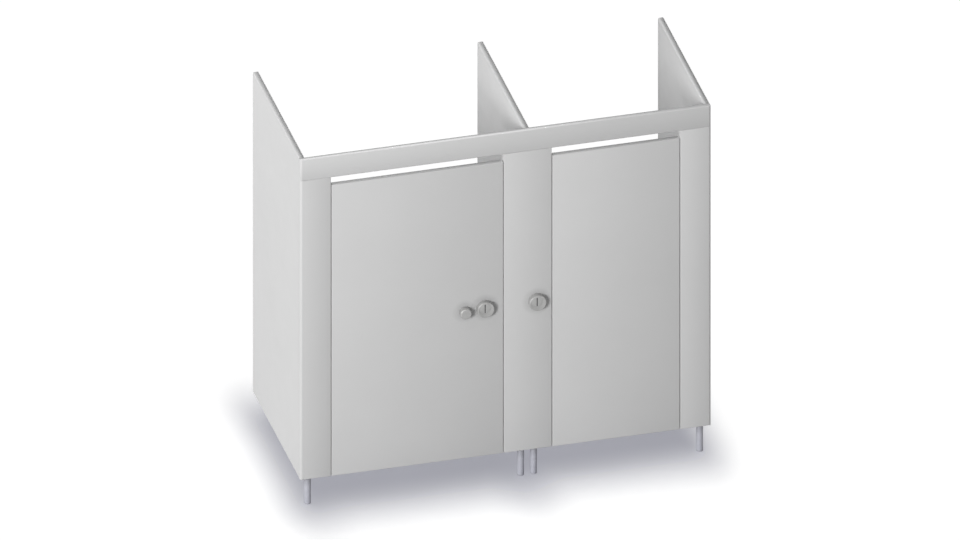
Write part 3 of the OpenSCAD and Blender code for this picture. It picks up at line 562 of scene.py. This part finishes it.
def soften_bowl(node, piece, share=0.8, wall=0.004):
    """Turns the shading of a bowl's inner wall forwards, so that the bowl reads as one dished face."""
    lo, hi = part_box(node)
    mid_x, _, mid_z = middle(node)
    inner = (hi.x - lo.x) / 2 - wall
    normals = [Vector(corner.vector) for corner in piece.data.corner_normals]
    for face in piece.data.polygons:
        radial = Vector((face.center.x - mid_x, 0, face.center.z - mid_z))
        if radial.length < inner and face.normal.dot(radial) < 0 and face.normal.y < 0.2:
            for i in face.loop_indices:
                normals[i] = normals[i].lerp(Vector((0, -1, 0)), share).normalized()
    piece.data.normals_split_custom_set(normals)


def paint_slot_shade(node, piece, width=0.0066, length=0.0475, lip=0.0004):
    """Gives the faces inside the disc's upright slot a dark material, which paints in the shade inside the
    slot.
    """
    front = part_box(node)[0].y
    mid_x, _, mid_z = middle(node)
    piece.data.materials.append(SLOT_SHADE)
    for face in piece.data.polygons:
        x, y, z = face.center
        if abs(x - mid_x) < width / 2 and abs(z - mid_z) < length / 2 and y > front + lip:
            face.material_index = 1


for node in ("leg_left", "leg_middle_left", "leg_middle_right", "leg_right"):
    refine(node, LEG, 0.0008)

# Each door's hardware: material, slot and how wide its edges are softened
HARDWARE = {
    "hinge_frame_leaves": (HINGE, "hinge_steel", 0.0004),
    "hinge_door_leaves": (HINGE, "hinge_steel", 0.0004),
    "hinge_pins": (HINGE, "hinge_steel", 0.0003),
    "keep": (LOCK, "lock_metal", 0.0004),
    "lock_case": (CASE, "lock_metal", 0.0005),
    "rose": (LOCK, "lock_metal", 0.0006),
    "slot_disc": (LOCK, "lock_metal", 0.0003),
    "thumb_turn": (LOCK, "lock_metal", 0.0008),
    "bolt": (ZINC, "zinc_steel", 0.0004),
    "cam": (ZINC, "zinc_steel", 0.0002),
    "spindle": (ZINC, "zinc_steel", 0.0003),
    "stop_lugs": (ZINC, "zinc_steel", 0.0004),
    "stop_pads": (RUBBER, "rubber", 0.0005),
    "coat_hook": (LOCK, "lock_metal", 0.0007),
    "hook_buffer": (RUBBER, "rubber", 0.0004),
}
# The dished pieces of the locks, which have lamps of their own
DISHED = []
for side in ("left", "right"):
    for part, (material, slot, width) in HARDWARE.items():
        node = side + "_" + part
        piece = refine(node, material, width, slivers=part in ("bolt", "coat_hook"))
        if part == "rose":
            soften_bowl(node, piece)
        if part == "slot_disc":
            paint_slot_shade(node, piece)
        if part in ("rose", "slot_disc"):
            DISHED.append(piece)
refine("left_knob", LOCK)
refine("left_knob_bolt", LOCK)
refine("leg_studs", ZINC, 0.0)
refine("foot_glides", GLIDE)
for node in ("panel_brackets", "wall_brackets", "headrail_plates"):
    refine(node, ZINC)

# ---------------------------------------------------------------- screws
HEAD_R = 0.0045
HEAD_H = 0.0024
HEAD_SIDES = 28
# The head's outline from its rim to its top: shares of its radius and height
DOME = ((1.0, 0.35), (0.97, 0.55), (0.87, 0.78), (0.72, 0.92), (0.5, 0.99))
RIM_BEVEL = 0.0003
# The cross in the head: half the length and half the width of its bars as shares of the head's
# radius, and the height of its floor as a share of the head's height
CROSS_ARM = 0.58
CROSS_HALF = 0.11
CROSS_FLOOR = 0.25
# How each cross is turned, in radians: the first one, and every next one after it
FIRST_SPIN = 0.7
NEXT_SPIN = 1.7
# Points this near to an end of a screw may belong to its head
HEAD_ZONE = 0.0026
# Radii of the shank at its tip and at the head, and where it starts below the head's top
SHANK_R = (0.0012, 0.002)
SHANK_START = 0.0022
SCREW_SMOOTH_ANGLE = 35


def add_part(bm, part):
    """Adds one bmesh to another, and frees the one that it adds."""
    mesh = mesh_from(part, "part")
    bm.from_mesh(mesh)
    bpy.data.meshes.remove(mesh)


def band(bm, low, high):
    """Faces between two rings of as many points."""
    for k in range(len(low)):
        bm.faces.new((low[k], low[(k + 1) % len(low)], high[(k + 1) % len(high)], high[k]))


def head_blank():
    """A pan head about +Z; the face under the head is at Z 0."""
    profile = [(0.55 * HEAD_R, -0.0001), (HEAD_R - RIM_BEVEL, 0.0), (HEAD_R, RIM_BEVEL)]
    profile += [(HEAD_R * out, HEAD_H * up) for out, up in DOME]
    bm = bmesh.new()
    turns = [2 * math.pi * k / HEAD_SIDES for k in range(HEAD_SIDES)]
    rings = [[bm.verts.new((r * math.cos(a), r * math.sin(a), z)) for a in turns] for r, z in profile]
    for low, high in zip(rings, rings[1:]):
        band(bm, low, high)
    bm.faces.new(list(reversed(rings[0])))
    bm.faces.new(rings[-1])
    return mesh_from(bm, "head")


def cross_cutter():
    """Two tapered bars that cross, which cut the head's recess."""
    arm = HEAD_R * CROSS_ARM
    half = HEAD_R * CROSS_HALF
    floor_z = HEAD_H * CROSS_FLOOR
    bm = bmesh.new()
    for across, along, taper in ((arm, half, (0.45, 0.7)), (half, arm, (0.7, 0.45))):
        high = [bm.verts.new((x * across * 1.05, y * along * 1.05, HEAD_H * 1.6)) for x, y in SQUARE]
        low = [bm.verts.new((x * across * taper[0], y * along * taper[1], floor_z)) for x, y in SQUARE]
        bm.faces.new(high)
        bm.faces.new(list(reversed(low)))
        band(bm, low, high)
    return mesh_from(bm, "cut")


def screw_head():
    """A pan head with a cross recess."""
    head = bpy.data.objects.new("head_tmp", head_blank())
    cutter = bpy.data.objects.new("cut_tmp", cross_cutter())
    for made in (head, cutter):
        bpy.context.scene.collection.objects.link(made)
    cut = head.modifiers.new("cut", "BOOLEAN")
    cut.operation = "DIFFERENCE"
    cut.object = cutter
    cut.solver = "EXACT"
    cut.use_self = True
    bpy.context.view_layer.update()
    depsgraph = bpy.context.evaluated_depsgraph_get()
    mesh = bpy.data.meshes.new_from_object(head.evaluated_get(depsgraph))
    for made in (head, cutter):
        bpy.data.objects.remove(made)
    return mesh


def islands(node):
    """The points of each separate solid of a node."""
    bm = bmesh.new()
    bm.from_mesh(NODES[node].data)
    bmesh.ops.remove_doubles(bm, verts=bm.verts, dist=WELD)
    seen, groups = set(), []
    for vert in bm.verts:
        if vert.index in seen:
            continue
        stack, group = [vert], []
        seen.add(vert.index)
        while stack:
            reached = stack.pop()
            group.append(reached.co.copy())
            for edge in reached.link_edges:
                other = edge.other_vert(reached)
                if other.index not in seen:
                    seen.add(other.index)
                    stack.append(other)
        groups.append(group)
    bm.free()
    return groups


def screw_place(points):
    """The top of a screw, the direction it faces, its head's radius and its length."""
    lo = Vector([min(p[i] for p in points) for i in range(3)])
    hi = Vector([max(p[i] for p in points) for i in range(3)])
    size = hi - lo
    axis = max(range(3), key=lambda i: size[i])
    mid = (lo + hi) / 2
    reach = {}
    for sign, end in ((-1, lo[axis]), (1, hi[axis])):
        offsets = [p - mid for p in points if abs(p[axis] - end) < HEAD_ZONE]
        for offset in offsets:
            offset[axis] = 0
        reach[sign] = max(offset.length for offset in offsets)
    sign = 1 if reach[1] > reach[-1] else -1
    facing = Vector()
    facing[axis] = sign
    top = mid.copy()
    top[axis] = hi[axis] if sign > 0 else lo[axis]
    return top, facing, reach[sign], size[axis]


def dress_screws(node, head_mesh):
    """Recessed pan heads on plain shanks, one for each screw of the node."""
    bm = bmesh.new()
    for count, points in enumerate(islands(node)):
        top, facing, radius, length = screw_place(points)
        turn = Vector((0, 0, 1)).rotation_difference(facing).to_matrix().to_4x4()
        spin = Matrix.Rotation(FIRST_SPIN + count * NEXT_SPIN, 4, "Z")
        scale = radius / HEAD_R
        flat = min(scale, 1)
        head = bmesh.new()
        head.from_mesh(head_mesh)
        seat = Matrix.Translation(top - facing * HEAD_H * flat)
        head.transform(seat @ turn @ spin @ Matrix.Diagonal((scale, scale, flat, 1)))
        add_part(bm, head)
        shank_l = length - HEAD_H
        shank = bmesh.new()
        bmesh.ops.create_cone(shank, cap_ends=True, segments=12, radius1=SHANK_R[0], radius2=SHANK_R[1],
                              depth=shank_l * 0.999)
        shank.transform(Matrix.Translation(top - facing * (SHANK_START + shank_l / 2)) @ turn)
        add_part(bm, shank)
    mesh = mesh_from(bm, node + "_fine")
    smooth(mesh, SCREW_SMOOTH_ANGLE)
    make_piece(node + "_fine", mesh, node, ZINC)


pan_head = screw_head()
for node in ("frame_screws", "left_door_screws", "right_door_screws"):
    dress_screws(node, pan_head)

# ---------------------------------------------------------------- floor
# Half the floor's side, how far it lies under the object, and how bright it is where it is seen
FLOOR_HALF = 30.0
FLOOR_DROP = 0.0004
FLOOR_GLOW = 0.73
# How dark the contact shadow is, and how square its corners are
SHADE_DEPTH = 0.62
CORNER_POWER = 3.0
plan_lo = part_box("left_pilaster")[0]
plan_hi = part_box("right_end_panel")[1]
# The contact shadow lies round the object's plan: where each side of it ends and where it is full
SHADE = {
    "left": ("X", plan_lo.x - 0.24, plan_lo.x + 0.13),
    "right": ("X", plan_hi.x + 0.185, plan_hi.x - 0.13),
    "front": ("Y", plan_lo.y - 0.49, plan_lo.y + 0.16),
    "back": ("Y", plan_hi.y + 0.50, plan_hi.y - 0.21),
}
# It is deeper in front of these legs, by so much, over an oval this far ahead and this large
FOOT_SHADE = {"leg_middle_left": 0.23, "leg_left": 0.09}
FOOT_AHEAD = 0.27
FOOT_REACH = (0.25, 0.42)


def floor_shade(g):
    """How deep the shadow is at each place on the floor, from 0 to 1."""
    place = g.axes(g.node("NewGeometry").outputs["Position"])
    spread = None
    for axis, open_at, full_at in SHADE.values():
        outward = g.remap(place[axis], full_at, open_at, 0.0, 1.0)
        power = g.math("POWER", outward, CORNER_POWER)
        spread = power if spread is None else g.math("ADD", spread, power)
    spread = g.math("POWER", spread, 1 / CORNER_POWER)
    shade = g.remap(spread, 0.0, 1.0, 1.0, 0.0, ease="SMOOTHSTEP")
    for node, depth in FOOT_SHADE.items():
        mid_x, mid_y, _ = middle(node)
        across = g.math("SUBTRACT", place["X"], mid_x)
        along = g.math("SUBTRACT", place["Y"], mid_y - FOOT_AHEAD)
        reach = g.length(g.math("DIVIDE", across, FOOT_REACH[0]), g.math("DIVIDE", along, FOOT_REACH[1]))
        shade = g.math("ADD", shade, g.remap(reach, 0.0, 1.0, depth, 0.0, ease="SMOOTHSTEP"))
    return shade


def floor_material():
    """White, with the soft bluish contact shadow that an evenly lit room gives."""
    g = new_material("floor_pale")
    shadow_tone = (1 - SHADE_DEPTH * 1.005, 1 - SHADE_DEPTH, 1 - SHADE_DEPTH * 0.93, 1.0)
    tone = g.mix(floor_shade(g), (1.0, 1.0, 1.0, 1.0), shadow_tone)
    matt = g.node("BsdfDiffuse")
    g.link(tone, matt.inputs["Color"])
    glow = g.node("Emission")
    g.link(tone, glow.inputs["Color"])
    g.link(g.math("MULTIPLY", g.shows_itself(), FLOOR_GLOW), glow.inputs["Strength"])
    both = g.node("AddShader")
    g.link(matt.outputs[0], both.inputs[0])
    g.link(glow.outputs[0], both.inputs[1])
    g.link(both.outputs[0], g.out.inputs["Surface"])
    return g.owner


floor_mesh = bpy.data.meshes.new("floor")
floor_mesh.from_pydata([(x * FLOOR_HALF, y * FLOOR_HALF, 0) for x, y in SQUARE], [], [(0, 1, 2, 3)])
floor_mesh.materials.append(floor_material())
floor = bpy.data.objects.new("floor", floor_mesh)
bpy.context.scene.collection.objects.link(floor)
floor.location.z = -FLOOR_DROP

# ---------------------------------------------------------------- light
# The sky's even light, what it gives more on one side, and where that side is
SKY = 0.25
SKY_SIDE = 0.20
SKY_FROM = Vector((-0.90, 0.10, 0.42)).normalized()
# Each lamp: the direction it stands in, the light it gives, its distance and its diameter. All leave
# the floor out, whose shade is in its material. The dished pieces have a second set, in whose light
# they cast no shadow into their own dish.
LAMPS = {
    "key": ((-0.66, -0.70, 0.27), 2.38, 36.0, 11.0),
    "fill": ((-0.553, -0.057, 0.831), 0.88, 18.0, 16.0),
    "rear": ((0.46, 0.86, 0.18), 1.30, 22.0, 12.0),
}
# How high above the floor the lamps aim
AIM_HEIGHT = 1.0


def studio_world():
    """A dim even sky that is a little brighter on the left; seen directly it is white."""
    g = Graph(bpy.data.worlds.new("studio"), "OutputWorld")
    toward = g.node("VectorMath", operation="DOT_PRODUCT")
    toward.inputs[1].default_value = SKY_FROM
    g.link(g.coord.outputs["Generated"], toward.inputs[0])
    lobe = g.math("POWER", g.math("MAXIMUM", toward.outputs["Value"], 0.0), 2.0)
    sky = g.math("MULTIPLY_ADD", lobe, SKY_SIDE, SKY)
    light = g.node("Background")
    light.inputs["Color"].default_value = (1, 1, 1, 1)
    g.link(g.math("MAXIMUM", sky, g.shows_itself()), light.inputs["Strength"])
    g.link(light.outputs[0], g.out.inputs["Surface"])
    return g.owner


def linked(name, pieces, state):
    """A collection of the pieces that lamps are to include or exclude."""
    collection = bpy.data.collections.new(name)
    for piece in pieces:
        collection.objects.link(piece)
    for item in collection.collection_objects:
        item.light_linking.link_state = state
    return collection


def lamp(name, direction, strength, away, size, receivers, blockers=None):
    """A round soft lamp that gives a surface facing it this much light where it aims."""
    data = bpy.data.lights.new(name, "AREA")
    data.shape = "DISK"
    data.size = size
    data.energy = strength * math.pi * away * away * (1 + (size / 2 / away) ** 2)
    made = bpy.data.objects.new(name, data)
    bpy.context.scene.collection.objects.link(made)
    aim = Vector(direction).normalized()
    made.location = aim * away + Vector((0, 0, AIM_HEIGHT))
    made.rotation_mode = "QUATERNION"
    made.rotation_quaternion = aim.to_track_quat("Z", "Y")
    made.light_linking.receiver_collection = receivers
    if blockers:
        made.light_linking.blocker_collection = blockers


bpy.context.scene.world = studio_world()
plain_lit = linked("plain_receivers", [floor] + DISHED, "EXCLUDE")
dished_lit = linked("dished_receivers", DISHED, "INCLUDE")
dished_clear = linked("dished_blockers", DISHED, "EXCLUDE")
for name, settings in LAMPS.items():
    lamp(name, *settings, plain_lit)
    lamp(name + "_on_locks", *settings, dished_lit, dished_clear)

# ---------------------------------------------------------------- camera
AZIMUTH = math.radians(-15)
ELEVATION = math.radians(30)
VIEW_WIDTH = 4.8302
CAMERA_AWAY = 12.0
CLIP = (0.1, 60.0)
# From the boards' low front left corner to the middle of the picture: rightwards and upwards
MIDDLE_RIGHT = 0.9042
MIDDLE_UP = 1.0586

scene = bpy.context.scene
scene.view_settings.view_transform = "Standard"
ahead = Vector((-math.sin(AZIMUTH), math.cos(AZIMUTH), 0))
right = Vector((math.cos(AZIMUTH), math.sin(AZIMUTH), 0))
up = ahead * math.sin(ELEVATION) + Vector((0, 0, math.cos(ELEVATION)))
back = Vector((0, 0, math.sin(ELEVATION))) - ahead * math.cos(ELEVATION)
camera_data = bpy.data.cameras.new("camera")
camera_data.type = "ORTHO"
camera_data.ortho_scale = VIEW_WIDTH
camera_data.clip_start = CLIP[0]
camera_data.clip_end = CLIP[1]
camera = bpy.data.objects.new("camera", camera_data)
scene.collection.objects.link(camera)
camera.location = plan_lo + right * MIDDLE_RIGHT + up * MIDDLE_UP + back * CAMERA_AWAY
camera.rotation_mode = "QUATERNION"
camera.rotation_quaternion = Matrix((right, up, back)).transposed().to_quaternion()
scene.camera = camera
